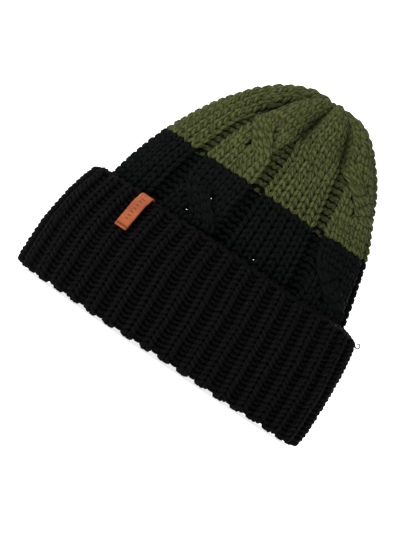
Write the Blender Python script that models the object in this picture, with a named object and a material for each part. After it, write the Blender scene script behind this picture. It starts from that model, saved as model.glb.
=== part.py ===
"""Knit beanie with a turned-up rib cuff and a folded leather strip label.

Metres, +Z up, the head opening faces down and the hem stands on z = 0.
The label is at the front left: the front looks along -Y.
"""
import math

import bmesh
import bpy
from mathutils import Vector

MM = 0.001

# driving dimensions of the hat
HAT_HEIGHT = 218.5 * MM          # hem to the top of the crown
HAT_HALF_WIDTH = 110.0 * MM      # of the crown curve, at the level of the hem
HAT_HALF_DEPTH = 44.0 * MM       # of the crown curve, at the level of the hem
WIDTH_CURVE = 1.6                # how early the sides start to draw in
DEPTH_CURVE = 4.0                # how early front and back do
ROUNDING = 2.4                   # 2 is an ellipse, more is squarer
CROWN_LEAN = 8.0 * MM            # how far the top leans to the wearer's left
COLOUR_CHANGE = 138.0 * MM       # height where the black yarn gives way to olive
KNIT_WALL = 5.5 * MM             # thickness of the cabled fabric
GROOVE_DEPTH = 1.6 * MM          # purl grooves between the knit bands

# turned-up cuff
CUFF_HEIGHT = 90.0 * MM
CUFF_HALF_WIDTH = 118.0 * MM     # widest, just above the hem
CUFF_HALF_DEPTH = 62.0 * MM
CUFF_TAPER = 9.0 * MM            # how much narrower each side is at the cuff's top
RIB_WALL = 5.0 * MM              # thickness of one leaf of rib
RIB_RELIEF = 0.9 * MM            # knit ribs stand out, purl ribs lie back
RIBS = 36
HEM_HEIGHT = 7.0 * MM            # height of the fold itself
HEM_FLAT = 4.0 * MM              # width of the flat that the hat stands on
LEAF_GAP_HEM = 0.6 * MM          # room between the two leaves at the fold
LEAF_GAP_TOP = 4.2 * MM          # and at the cuff's top
EDGE_THICK = 4.2 * MM            # chain edge along the cuff's top
BRIM_TOP = 80.0 * MM             # where the rib behind the cuff becomes the body

# gathered top
GATHER_HOLE = 10.0 * MM          # half width of the last knitted row
GATHER_DIMPLE = 1.6 * MM
GATHER_THREAD = 2.2 * MM
GATHER_RING = 5.5 * MM           # half width of the ring that the thread draws
KNOT_SIZE = 6.5 * MM

# seams at the back
SEAM_THICK = 3.0 * MM            # ridge inside the hat
CUFF_SEAM_THICK = 1.5 * MM       # ridge between the cuff's leaves
CUFF_SEAM_START = 34.0 * MM

# label
LABEL_WIDTH = 10.6 * MM
LABEL_THICK = 1.3 * MM
LABEL_BOTTOM = 61.5 * MM         # height of its lower end on the cuff
LABEL_ANGLE = -37.0              # degrees round the cuff from the front
LABEL_LEAN = 2.5                 # degrees
STITCHES = 4
STITCH_PITCH = 2.4 * MM
STITCH_LENGTH = 1.7 * MM
STITCH_THICK = 0.7 * MM
STITCH_RISE = 2.2 * MM           # stitch row above the label's end

# loose loop of yarn at the cuff's corner
LOOP_RADIUS = 1.7 * MM
LOOP_THICK = 1.0 * MM
LOOP_RIB = 9                     # which rib it stands on, counted from the front
LOOP_HEIGHT = 82.5 * MM

CLEARANCE = 0.3 * MM
UNITS = 8                        # bands of knit round the crown
UNIT_STITCHES = 8                # stitches in each, two of them purl


# ---------------------------------------------------------------- outlines
def hat_width(z, inset=0.0):
    """Half width of the hat at height z, under a wall of inset."""
    share = min(max(z, 0.0) / (HAT_HEIGHT - inset), 1.0)
    return (HAT_HALF_WIDTH - inset) * (1.0 - share ** WIDTH_CURVE) ** (1 / ROUNDING)


def hat_depth(z, inset=0.0):
    """Half depth there: front and back stay fuller than the sides."""
    share = min(max(z, 0.0) / (HAT_HEIGHT - inset), 1.0)
    return (HAT_HALF_DEPTH - inset) * (1.0 - share ** DEPTH_CURVE) ** (1 / ROUNDING)


def lean(z):
    return CROWN_LEAN * (max(z, 0.0) / HAT_HEIGHT) ** 6


def cuff_drop(z):
    """How far the cuff has drawn in at height z."""
    start = 0.3 * CUFF_HEIGHT
    return CUFF_TAPER * (max(z - start, 0.0) / (CUFF_HEIGHT - start)) ** 2


def leaf_gap(z):
    """Room between the cuff's two leaves at height z."""
    share = (z - HEM_HEIGHT) / (CUFF_HEIGHT - HEM_HEIGHT)
    return LEAF_GAP_HEM + (LEAF_GAP_TOP - LEAF_GAP_HEM) * max(share, 0.0) ** 0.6


def cuff_axes(z, inset=0.0):
    return (CUFF_HALF_WIDTH - cuff_drop(z) - inset,
            CUFF_HALF_DEPTH - cuff_drop(z) - inset)


def brim_axes(z, inset=0.0):
    """The inner leaf follows the cuff at the hem and the body at its top."""
    low = cuff_axes(z, RIB_WALL + leaf_gap(z))
    high = (hat_width(z), hat_depth(z))
    share = ((z - HEM_HEIGHT) / (BRIM_TOP - HEM_HEIGHT)) ** 2
    return tuple(min(a, a + (b - a) * share) - inset for a, b in zip(low, high))


def even_angles(axes, count):
    """Angles that divide an ellipse's outline into equal lengths."""
    steps = 720
    lengths = [0.0]
    for i in range(steps):
        t = 2 * math.pi * (i + 0.5) / steps
        lengths.append(lengths[-1] + math.hypot(axes[0] * math.cos(t), axes[1] * math.sin(t)))
    angles = []
    i = 0
    for k in range(count):
        target = lengths[-1] * k / count
        while lengths[i + 1] < target:
            i += 1
        part = (target - lengths[i]) / (lengths[i + 1] - lengths[i])
        angles.append(2 * math.pi * (i + part) / steps)
    return angles


RIB_ANGLES = even_angles(cuff_axes(0.5 * CUFF_HEIGHT), 2 * RIBS)
CROWN_ANGLES = even_angles((hat_width(COLOUR_CHANGE), hat_depth(COLOUR_CHANGE)),
                           UNITS * UNIT_STITCHES)
PLAIN_ANGLES = [2 * math.pi * k / 24 for k in range(24)]


def rib_relief(k):
    return RIB_RELIEF if k % 2 == 0 else -RIB_RELIEF


def band_relief(k):
    return -GROOVE_DEPTH if (k + 1) % UNIT_STITCHES < 2 else 0.0


def no_relief(k):
    return 0.0


def ring(axes, z, angles, relief=no_relief, shift=0.0):
    """Points of one ring: angle 0 is the front, and 90 degrees is +X."""
    points = []
    for k, t in enumerate(angles):
        stand = relief(k)
        points.append(Vector((shift + (axes[0] + stand) * math.sin(t),
                              -(axes[1] + stand) * math.cos(t), z)))
    return points


# ------------------------------------------------------------------ meshes
def material(name, colour, roughness):
    mat = bpy.data.materials.new(name)
    mat.use_nodes = True
    shader = mat.node_tree.nodes["Principled BSDF"]
    shader.inputs["Base Color"].default_value = (*colour, 1.0)
    shader.inputs["Roughness"].default_value = roughness
    return mat


def add_object(name, mesh, mat):
    obj = bpy.data.objects.new(name, mesh)
    mesh.materials.append(mat)
    bpy.context.scene.collection.objects.link(obj)
    return obj


def add_mesh(name, bm, mat):
    bmesh.ops.recalc_face_normals(bm, faces=bm.faces)
    mesh = bpy.data.meshes.new(name)
    bm.to_mesh(mesh)
    bm.free()
    mesh.shade_smooth()
    mesh.set_sharp_from_angle(angle=math.radians(50))
    return add_object(name, mesh, mat)


def loft(name, rings, mat, closed=True):
    """Extrude a ring of points from station to station.

    A closed loft joins its last ring to its first, which makes a tube with a
    wall; an open one ends in two caps.
    """
    bm = bmesh.new()
    made = bmesh.ops.create_circle(bm, segments=len(rings[0]), radius=1.0, cap_ends=False)
    verts = made["verts"]
    first = list(bm.edges)
    for vert, point in zip(verts, rings[0]):
        vert.co = point
    edges = first
    for points in rings[1:]:
        grown = bmesh.ops.extrude_edge_only(bm, edges=edges)["geom"]
        edges = [e for e in grown if isinstance(e, bmesh.types.BMEdge)]
        new = {v for e in edges for v in e.verts}
        bm.edges.ensure_lookup_table()
        step = {}
        for vert in verts:
            for edge in vert.link_edges:
                other = edge.other_vert(vert)
                if other in new:
                    step[vert] = other
        verts = [step[vert] for vert in verts]
        for vert, point in zip(verts, points):
            vert.co = point
    if closed:
        bmesh.ops.bridge_loops(bm, edges=first + edges)
    else:
        bmesh.ops.contextual_create(bm, geom=first)
        bmesh.ops.contextual_create(bm, geom=edges)
    return add_mesh(name, bm, mat)


def tube(name, points, thick, mat, cyclic=False, sides=2):
    """A round cord along points, as a curve with filled ends."""
    curve = bpy.data.curves.new(name, "CURVE")
    curve.dimensions = "3D"
    curve.bevel_depth = thick / 2
    curve.bevel_resolution = sides
    curve.use_fill_caps = not cyclic
    spline = curve.splines.new("POLY")
    spline.points.add(len(points) - 1)
    for slot, point in zip(spline.points, points):
        slot.co = (*point, 1.0)
    spline.use_cyclic_u = cyclic
    return add_object(name, curve, mat)


def spread(low, high, count):
    return [low + (high - low) * i / (count - 1) for i in range(count)]


# ------------------------------------------------------------ knit panels
def wall(name, levels, mat):
    """One panel of the hat's curve between the first and last level."""
    outer = [ring((hat_width(z), hat_depth(z)), z, CROWN_ANGLES, band_relief, lean(z))
             for z in levels]
    inner = [ring((hat_width(z, KNIT_WALL), hat_depth(z, KNIT_WALL)), z,
                  CROWN_ANGLES, no_relief, lean(z))
             for z in reversed(levels)]
    return loft(name, outer + inner, mat)


def level_of(half_width, inset=0.0):
    """Height at which the hat's curve has narrowed to half_width."""
    share = (1.0 - (half_width / (HAT_HALF_WIDTH - inset)) ** ROUNDING) ** (1 / WIDTH_CURVE)
    return share * (HAT_HEIGHT - inset)


def build_body(mat):
    return wall("black_body", spread(BRIM_TOP + CLEARANCE, COLOUR_CHANGE - CLEARANCE / 2, 5), mat)


def crown_stations():
    """Outer and inner stations of the crown, from the colour change to its hole."""
    outer = [COLOUR_CHANGE + CLEARANCE / 2]
    outer += [level_of(share * hat_width(COLOUR_CHANGE))
              for share in (0.93, 0.84, 0.73, 0.6, 0.46, 0.31, 0.2)]
    outer.append(level_of(GATHER_HOLE))
    inner = [COLOUR_CHANGE + CLEARANCE / 2]
    inner += [level_of(share * hat_width(COLOUR_CHANGE, KNIT_WALL), KNIT_WALL)
              for share in (0.93, 0.84, 0.73, 0.6, 0.46, 0.31, 0.2)]
    inner.append(level_of(GATHER_HOLE, KNIT_WALL))
    return outer, inner


def hole_axes():
    """The last row is an oval hole with the same proportions as the crown there."""
    z = level_of(GATHER_HOLE)
    return GATHER_HOLE, hat_depth(z)


def build_crown(mat):
    outer, inner = crown_stations()
    rings = [ring((hat_width(z), hat_depth(z)), z, CROWN_ANGLES, band_relief, lean(z))
             for z in outer[:-1]]
    hole = hole_axes()
    rings.append(ring(hole, outer[-1], CROWN_ANGLES, no_relief, lean(outer[-1])))
    rings.append(ring(hole, inner[-1], CROWN_ANGLES, no_relief, lean(outer[-1])))
    rings += [ring((hat_width(z, KNIT_WALL), hat_depth(z, KNIT_WALL)), z,
                   CROWN_ANGLES, no_relief, lean(z))
              for z in reversed(inner[:-1])]
    return loft("olive_crown", rings, mat)


def build_gather(mat):
    """Last stitches drawn together: a puckered plug that closes the crown."""
    top, low = level_of(GATHER_HOLE), level_of(GATHER_HOLE, KNIT_WALL)
    axes = tuple(a - CLEARANCE for a in hole_axes())

    def pucker(k):
        return 0.0 if k % 2 == 0 else -0.6 * MM

    def at(share, z):
        return ring(tuple(a * share for a in axes), z, PLAIN_ANGLES, pucker, lean(top))

    rings = [at(0.3, low), at(1.0, low), at(1.0, top), at(0.62, HAT_HEIGHT - 0.4 * MM),
             at(0.3, HAT_HEIGHT - GATHER_DIMPLE)]
    return loft("crown_gather", rings, mat, closed=False)


def build_gather_thread(mat):
    low = level_of(GATHER_HOLE, KNIT_WALL)
    shift = lean(level_of(GATHER_HOLE))
    z = low - CLEARANCE - GATHER_THREAD / 2
    depth = GATHER_RING * 0.8
    points = [Vector((shift + GATHER_RING * math.sin(t), -depth * math.cos(t), z))
              for t in PLAIN_ANGLES]
    return tube("gather_thread", points, GATHER_THREAD, mat, cyclic=True)


def build_knot(mat):
    low = level_of(GATHER_HOLE, KNIT_WALL)
    z = low - 2 * CLEARANCE - GATHER_THREAD - KNOT_SIZE / 2
    bm = bmesh.new()
    bmesh.ops.create_icosphere(bm, subdivisions=2, radius=KNOT_SIZE / 2)
    bmesh.ops.translate(bm, verts=bm.verts, vec=(lean(level_of(GATHER_HOLE)), 0, z))
    return add_mesh("gather_knot", bm, mat)


# -------------------------------------------------------------- rib cuff
def build_brim(mat):
    levels = spread(HEM_HEIGHT + CLEARANCE, BRIM_TOP, 6)
    outer = [ring(brim_axes(z), z, RIB_ANGLES) for z in levels]
    inner = [ring(brim_axes(z, RIB_WALL), z, RIB_ANGLES, rib_relief) for z in reversed(levels)]
    return loft("inner_brim", outer + inner, mat)


def build_cuff(mat):
    top = CUFF_HEIGHT - EDGE_THICK - CLEARANCE
    levels = spread(HEM_HEIGHT + CLEARANCE, top, 7)
    outer = [ring(cuff_axes(z, RIB_RELIEF), z, RIB_ANGLES, rib_relief) for z in levels]
    inner = [ring(cuff_axes(z, RIB_WALL), z, RIB_ANGLES) for z in reversed(levels)]
    return loft("outer_cuff", outer + inner, mat)


def build_hem(mat):
    """The rib turns up here: a rounded fold with a flat to stand on."""
    outer = cuff_axes(HEM_HEIGHT, RIB_RELIEF)
    inner = brim_axes(HEM_HEIGHT, RIB_WALL)
    width = outer[0] - inner[0]
    side = (width - HEM_FLAT) / 2
    rings = []
    for step in range(4):
        t = math.radians(30 * step)
        axes = tuple(a - side * (1 - math.cos(t)) for a in outer)
        rings.append(ring(axes, HEM_HEIGHT * (1 - math.sin(t)), RIB_ANGLES, rib_relief))
    for step in range(4):
        t = math.radians(90 - 30 * step)
        axes = tuple(a + side * (1 - math.cos(t)) for a in inner)
        rings.append(ring(axes, HEM_HEIGHT * (1 - math.sin(t)), RIB_ANGLES))
    return loft("hem_fold", rings, mat)


def edge_axes():
    """Middle of the chain edge, over the middle of the cuff's outer leaf."""
    return cuff_axes(CUFF_HEIGHT, 0.5 * RIB_WALL)


def build_edge(mat):
    axes = edge_axes()
    z = CUFF_HEIGHT - EDGE_THICK / 2
    points = ring(axes, z, RIB_ANGLES)
    return tube("cuff_edge", points, EDGE_THICK, mat, cyclic=True)


def build_loop(mat):
    """A small arch of yarn that stands out of the cuff's corner."""
    t = RIB_ANGLES[2 * LOOP_RIB]
    a, b = cuff_axes(LOOP_HEIGHT)
    out = Vector((math.sin(t) / a, -math.cos(t) / b, 0)).normalized()
    foot = Vector((a * math.sin(t), -b * math.cos(t), LOOP_HEIGHT))
    foot += out * (CLEARANCE + LOOP_THICK / 2)
    up = Vector((0, 0, 1))
    points = [foot + out * LOOP_RADIUS * 1.6 * math.sin(s) + up * LOOP_RADIUS * math.cos(s)
              for s in spread(0.15, math.pi - 0.15, 9)]
    return tube("yarn_loop", points, LOOP_THICK, mat)


# ----------------------------------------------------------------- seams
def build_seams(yarn, olive):
    stand = CLEARANCE + SEAM_THICK / 2
    brim = [Vector((0, brim_axes(z, RIB_WALL)[1] - RIB_RELIEF - stand, z))
            for z in spread(HEM_HEIGHT + 3 * MM, BRIM_TOP - 2 * MM, 6)]
    tube("brim_seam", brim, SEAM_THICK, yarn)
    body = [Vector((lean(z), hat_depth(z, KNIT_WALL) - stand, z))
            for z in spread(BRIM_TOP + 4 * MM, COLOUR_CHANGE - CLEARANCE, 6)]
    tube("body_seam", body, SEAM_THICK, yarn)
    _, inner = crown_stations()
    crown = []
    for z in spread(COLOUR_CHANGE + CLEARANCE, inner[-3], 12):
        run = 1.0 * MM
        rise = hat_depth(z, KNIT_WALL) - hat_depth(z + run, KNIT_WALL)
        out = Vector((0, run, rise)).normalized()
        crown.append(Vector((lean(z), hat_depth(z, KNIT_WALL), z)) - out * (stand + CLEARANCE))
    crown[0].z = COLOUR_CHANGE + CLEARANCE
    tube("crown_seam", crown, SEAM_THICK, olive)
    cuff = [Vector((0, cuff_axes(z, RIB_WALL)[1] - CLEARANCE - CUFF_SEAM_THICK / 2, z))
            for z in spread(CUFF_SEAM_START, CUFF_HEIGHT - EDGE_THICK - 2 * MM, 6)]
    tube("cuff_seam", cuff, CUFF_SEAM_THICK, yarn)


# ----------------------------------------------------------------- label
def label_frame():
    """Point on the cuff behind the label's lower end, and its three directions."""
    t = math.radians(LABEL_ANGLE)
    a, b = cuff_axes(LABEL_BOTTOM)
    out = Vector((math.sin(t) / a, -math.cos(t) / b, 0)).normalized()
    across = Vector((-out.y, out.x, 0))
    along = Vector((0, 0, 1)) + across * math.tan(math.radians(LABEL_LEAN))
    return Vector((a * math.sin(t), -b * math.cos(t), 0)), out, across, along


def reach(start, out, axes):
    """Distance from start, along out, to an oval with these axes round the hat."""
    square = (out.x / axes[0]) ** 2 + (out.y / axes[1]) ** 2
    half = start.x * out.x / axes[0] ** 2 + start.y * out.y / axes[1] ** 2
    rest = (start.x / axes[0]) ** 2 + (start.y / axes[1]) ** 2 - 1.0
    return (-half + math.sqrt(half * half - square * rest)) / square


def label_path():
    """Middle line of the folded strip, as (distance outwards, height) pairs.

    The strip is flat across, so at each height it clears the cuff's curve at
    its two edges and its middle.
    """
    foot, out, across, _ = label_frame()
    stand = CLEARANCE + LABEL_THICK / 2

    def reaches(z, axes):
        side = (z - LABEL_BOTTOM) * math.tan(math.radians(LABEL_LEAN))
        return [reach(foot + across * (side + LABEL_WIDTH / 2 * u), out, axes) for u in (-1, 0, 1)]

    def outside(z):
        return max(reaches(z, cuff_axes(z))) + stand

    def inside(z):
        return min(reaches(z, cuff_axes(z, RIB_WALL))) - stand

    legs = spread(LABEL_BOTTOM, CUFF_HEIGHT - EDGE_THICK, 6)
    path = [(outside(z), z) for z in legs]
    edge = reaches(CUFF_HEIGHT, edge_axes())
    turn = EDGE_THICK / 2 + stand
    middle, half = (max(edge) + min(edge)) / 2, (max(edge) - min(edge)) / 2 + turn
    for t in spread(0.0, math.pi, 9):
        path.append((middle + half * math.cos(t), CUFF_HEIGHT - EDGE_THICK / 2 + turn * math.sin(t)))
    path += [(inside(z), z) for z in reversed(legs)]
    return path


def build_label(mat):
    foot, out, across, along = label_frame()
    path = label_path()
    rings = []
    for i, (dist, z) in enumerate(path):
        before, after = path[max(i - 1, 0)], path[min(i + 1, len(path) - 1)]
        run = Vector((after[0] - before[0], after[1] - before[1])).normalized()
        side = out * -run.y + Vector((0, 0, 1)) * run.x
        centre = foot + out * dist + along * (z - LABEL_BOTTOM) + Vector((0, 0, LABEL_BOTTOM))
        rings.append([centre + across * (LABEL_WIDTH / 2) * u + side * (LABEL_THICK / 2) * v
                      for u, v in ((-1, -1), (1, -1), (1, 1), (-1, 1))])
    return loft("leather_label", rings, mat, closed=False)


def build_stitches(mat):
    """Separate stitches in a row across the label's lower end."""
    foot, out, across, along = label_frame()
    dist = label_path()[0][0] + LABEL_THICK / 2 + CLEARANCE + STITCH_THICK / 2
    row = foot + out * dist + along * STITCH_RISE + Vector((0, 0, LABEL_BOTTOM))
    for k in range(STITCHES):
        middle = row + across * STITCH_PITCH * (k - (STITCHES - 1) / 2)
        points = [middle + across * STITCH_LENGTH / 2 * s for s in (-1, 0, 1)]
        tube("label_stitch_%d" % (k + 1), points, STITCH_THICK, mat, sides=1)


def main():
    for obj in list(bpy.data.objects):
        bpy.data.objects.remove(obj, do_unlink=True)
    black = material("black_yarn", (0.012, 0.012, 0.013), 0.9)
    deep = material("black_rib_yarn", (0.008, 0.008, 0.009), 0.9)
    olive = material("olive_yarn", (0.06, 0.075, 0.03), 0.9)
    leather = material("tan_leather", (0.42, 0.16, 0.06), 0.5)
    thread = material("brown_thread", (0.10, 0.03, 0.012), 0.6)
    build_crown(olive)
    build_gather(olive)
    build_gather_thread(olive)
    build_knot(olive)
    build_body(black)
    build_brim(deep)
    build_hem(deep)
    build_cuff(deep)
    build_edge(deep)
    build_loop(deep)
    build_seams(deep, olive)
    build_label(leather)
    build_stitches(thread)


main()
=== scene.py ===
import math

import bmesh
import bpy
import numpy as np
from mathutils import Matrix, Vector


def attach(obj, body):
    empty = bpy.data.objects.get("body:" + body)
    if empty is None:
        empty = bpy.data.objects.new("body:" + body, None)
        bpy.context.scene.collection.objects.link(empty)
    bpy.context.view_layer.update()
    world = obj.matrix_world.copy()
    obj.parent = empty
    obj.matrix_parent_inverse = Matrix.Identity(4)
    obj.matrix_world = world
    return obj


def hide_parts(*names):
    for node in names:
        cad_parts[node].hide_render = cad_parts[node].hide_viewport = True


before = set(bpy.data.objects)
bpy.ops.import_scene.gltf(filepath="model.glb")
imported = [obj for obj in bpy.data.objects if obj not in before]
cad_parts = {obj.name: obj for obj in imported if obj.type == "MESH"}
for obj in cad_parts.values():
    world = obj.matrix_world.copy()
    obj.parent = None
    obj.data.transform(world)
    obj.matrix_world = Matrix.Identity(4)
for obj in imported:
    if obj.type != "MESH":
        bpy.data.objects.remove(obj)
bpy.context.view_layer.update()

mm = 0.001
rng = np.random.default_rng(7)


# camera: level with the hat and rolled, so that the crown leans to the upper right
cameraSetup = {"distance": 1.9, "frameHeight": 373.1 * mm, "aimX": -10.0 * mm, "aimZ": 69.7 * mm,
               "roll": -34.1}


def makeCamera(setup):
    data = bpy.data.cameras.new("camera")
    data.sensor_width = 36.0
    data.lens = 36.0 * setup["distance"] / setup["frameHeight"]
    cam = bpy.data.objects.new("camera", data)
    bpy.context.scene.collection.objects.link(cam)
    roll = math.radians(setup["roll"])
    cam.location = (setup["aimX"], -setup["distance"], setup["aimZ"])
    cam.rotation_euler = (math.radians(90), roll, 0)
    cam.rotation_mode = "XYZ"
    bpy.context.scene.camera = cam
    return cam


camera = makeCamera(cameraSetup)


# floor, backdrop and lights
stage = {"floorSize": 8.0, "wallAt": 3.8, "wallHeight": 4.5, "bend": 1.0, "pale": (0.93, 0.93, 0.925),
         "glow": 0.9}


def makeStage(setup):
    bm = bmesh.new()
    half = setup["floorSize"] / 2
    start = [bm.verts.new((-half, -half, 0)), bm.verts.new((half, -half, 0))]
    edge = bm.edges.new(start)
    profile = [(setup["wallAt"] - setup["bend"], 0)]
    for i in range(1, 13):
        t = math.radians(90) * i / 12
        profile.append((setup["wallAt"] - setup["bend"] + setup["bend"] * math.sin(t),
                        setup["bend"] - setup["bend"] * math.cos(t)))
    profile.append((setup["wallAt"], setup["wallHeight"]))
    last = [edge]
    for y, z in profile:
        grown = bmesh.ops.extrude_edge_only(bm, edges=last)["geom"]
        for vert in [g for g in grown if isinstance(g, bmesh.types.BMVert)]:
            vert.co.y, vert.co.z = y, z
        last = [g for g in grown if isinstance(g, bmesh.types.BMEdge)]
    mesh = bpy.data.meshes.new("backdrop")
    bmesh.ops.recalc_face_normals(bm, faces=bm.faces)
    bm.to_mesh(mesh)
    bm.free()
    mesh.shade_smooth()
    floor = bpy.data.objects.new("backdrop", mesh)
    bpy.context.scene.collection.objects.link(floor)
    mat = bpy.data.materials.new("paleFloor")
    mat.use_nodes = True
    shader = mat.node_tree.nodes["Principled BSDF"]
    shader.inputs["Base Color"].default_value = (*setup["pale"], 1)
    shader.inputs["Roughness"].default_value = 0.9
    shader.inputs["Specular IOR Level"].default_value = 0.1
    shader.inputs["Emission Color"].default_value = (*setup["pale"], 1)
    shader.inputs["Emission Strength"].default_value = setup["glow"]
    mesh.materials.append(mat)


lights = {
    "key": {"at": (-1.05, -1.15, 1.35), "size": 0.5, "power": 31, "to": (0, 0, 0.1)},
    "fill": {"at": (1.3, -1.2, 0.5), "size": 1.2, "power": 5, "to": (0, 0, 0.1)},
    "top": {"at": (-0.5, 0.3, 1.6), "size": 1.0, "power": 9, "to": (0, 0, 0.1)},
    "back": {"at": (0.9, 1.7, 1.1), "size": 0.8, "power": 20, "to": (0, 0, 0.1)},
}


def makeLights(setups):
    for name, setup in setups.items():
        data = bpy.data.lights.new(name, "AREA")
        data.shape = "DISK"
        data.size = setup["size"]
        data.energy = setup["power"]
        lamp = bpy.data.objects.new(name, data)
        lamp.location = setup["at"]
        lamp.rotation_euler = (Vector(setup["to"]) - lamp.location).to_track_quat("-Z", "Y").to_euler()
        bpy.context.scene.collection.objects.link(lamp)
    world = bpy.data.worlds.new("studio")
    world.use_nodes = True
    tree = world.node_tree
    soft = tree.nodes["Background"]
    soft.inputs["Color"].default_value = (1, 1, 1, 1)
    soft.inputs["Strength"].default_value = 0.26
    seen = tree.nodes.new("ShaderNodeBackground")
    seen.inputs["Color"].default_value = (1, 1, 1, 1)
    path, pick = tree.nodes.new("ShaderNodeLightPath"), tree.nodes.new("ShaderNodeMixShader")
    tree.links.new(path.outputs["Is Camera Ray"], pick.inputs[0])
    tree.links.new(soft.outputs[0], pick.inputs[1])
    tree.links.new(seen.outputs[0], pick.inputs[2])
    tree.links.new(pick.outputs[0], tree.nodes["World Output"].inputs["Surface"])
    bpy.context.scene.world = world
    bpy.context.scene.view_settings.view_transform = "Standard"


makeStage(stage)
makeLights(lights)
print("stage and camera ready")


# the hat's own shape, the same curves as its solids
hat = {"height": 218.5 * mm, "halfWidth": 110.0 * mm, "halfDepth": 44.0 * mm, "widthCurve": 1.6,
       "depthCurve": 4.0, "rounding": 2.4, "lean": 8.0 * mm, "colourChange": 138.0 * mm,
       "brimTop": 80.0 * mm, "middle": 4.3 * mm, "rowHeight": 5.0 * mm}
cuff = {"height": 90.0 * mm, "halfWidth": 118.0 * mm, "halfDepth": 62.0 * mm, "taper": 9.0 * mm,
        "leaf": 5.0 * mm, "hem": 7.0 * mm, "gapLow": 0.6 * mm, "gapTop": 4.2 * mm,
        "rowHeight": 3.65 * mm, "ribs": 36, "standing": 4.4 * mm, "offset": -1.4 * mm, "endSag": 1.8 * mm}


def smooth(x):
    x = np.clip(x, 0.0, 1.0)
    return x * x * (3 - 2 * x)


def hatAxes(z, inset):
    share = np.clip(z / (hat["height"] - inset), 0.0, 1.0)
    a = (hat["halfWidth"] - inset) * (1 - share ** hat["widthCurve"]) ** (1 / hat["rounding"])
    b = (hat["halfDepth"] - inset) * (1 - share ** hat["depthCurve"]) ** (1 / hat["rounding"])
    return a, b


def hatLean(z):
    return hat["lean"] * (np.clip(z, 0, None) / hat["height"]) ** 6


def cuffDrop(z):
    start = 0.3 * cuff["height"]
    return cuff["taper"] * (np.clip(z - start, 0, None) / (cuff["height"] - start)) ** 2


def cuffAxes(z, inset):
    drop = cuffDrop(z) + inset
    return cuff["halfWidth"] - drop, cuff["halfDepth"] - drop


def brimAxes(z, inset):
    share = np.clip((z - cuff["hem"]) / (cuff["height"] - cuff["hem"]), 0, 1)
    gap = cuff["gapLow"] + (cuff["gapTop"] - cuff["gapLow"]) * share ** 0.6
    low = cuffAxes(z, cuff["leaf"] + gap)
    high = hatAxes(z, 0.0)
    mix = (np.clip(z - cuff["hem"], 0, None) / (hat["brimTop"] - cuff["hem"])) ** 2
    return tuple(np.minimum(a, a + (b - a) * mix) - inset for a, b in zip(low, high))


def makeAngles(a, b):
    # share of the way round, from the front towards +X, against angle
    t = np.linspace(-2 * np.pi, 4 * np.pi, 6001)
    speed = np.hypot(a * np.cos(t), b * np.sin(t))
    length = np.concatenate([[0], np.cumsum((speed[1:] + speed[:-1]) / 2 * np.diff(t))])
    length -= np.interp(0.0, t, length)
    around = np.interp(2 * np.pi, t, length)
    return length / around, t


class Surface:
    # a fabric's middle surface: share round the hat and knit row give a point

    def __init__(self, section, rowHeight, zeroAt, angles, side):
        self.section = section
        steps = np.hypot(np.diff(section[:, 1]), np.diff(section[:, 2]))
        length = np.concatenate([[0], np.cumsum(steps)])
        self.rows = (length - length[zeroAt]) / rowHeight
        self.angles = angles
        self.side = side

    def point(self, share, row):
        a, b, z, shift = (np.interp(row, self.rows, self.section[:, i]) for i in range(4))
        t = np.interp(share, *self.angles)
        return np.stack([shift + a * np.sin(t), -b * np.cos(t), z], axis=-1)

    def place(self, share, row, stand):
        step = 1e-3
        row = np.clip(row, self.rows[0] + step, self.rows[-1] - step)
        point = self.point(share, row)
        du = self.point(share + step, row) - self.point(share - step, row)
        dv = self.point(share, row + step) - self.point(share, row - step)
        normal = np.cross(du, dv) * self.side
        normal /= np.linalg.norm(normal, axis=-1, keepdims=True) + 1e-12
        return point + normal * stand[..., None]

    def around(self, row):
        # length of one turn round the hat at a row
        share = np.linspace(0, 1, 181)
        row = np.asarray(row, dtype=float)
        flat = self.point(share[None, :] + 0 * row.reshape(-1, 1), row.reshape(-1, 1) + 0 * share[None, :])
        length = np.linalg.norm(np.diff(flat, axis=1), axis=-1).sum(axis=1)
        return length.reshape(row.shape)


def hatSection():
    top = hat["height"] - hat["middle"]
    low = hat["brimTop"] - 4 * mm
    g = np.linspace(0, 1, 1601)
    z = low + (top - low) * (1 - (1 - g) ** 2.5)
    a, b = hatAxes(z, hat["middle"])
    return np.stack([a, b, z, hatLean(z)], axis=1)


def cuffSection():
    half = cuff["leaf"] / 2
    turn = (cuff["leaf"] + cuff["gapLow"]) / 2
    centre = cuff["standing"] + turn
    z = np.linspace(cuff["height"] - 2.5 * mm, centre, 400)
    outer = np.stack([*cuffAxes(z, half), z, 0 * z], axis=1)
    t = np.linspace(0, np.pi, 80)[1:-1]
    sink = turn * (1 - np.cos(t))
    a, b = cuffAxes(centre, half)
    fold = np.stack([a - sink, b - sink, centre - turn * np.sin(t), 0 * t], axis=1)
    z = np.linspace(centre, hat["brimTop"], 400)
    inner = np.stack([*brimAxes(z, half), z, 0 * z], axis=1)
    return np.concatenate([outer, fold, inner])


hatRows = hatSection()
zero = int(np.argmin(np.abs(hatRows[:, 2] - hat["colourChange"])))
hatSurface = Surface(hatRows, hat["rowHeight"], zero, makeAngles(82.6, 42.0), 1)
cuffSurface = Surface(cuffSection(), cuff["rowHeight"], 0, makeAngles(113.0, 57.0), -1)
print("hat rows", hatSurface.rows[[0, -1]].round(1), "cuff rows", cuffSurface.rows[[0, -1]].round(1))


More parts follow.
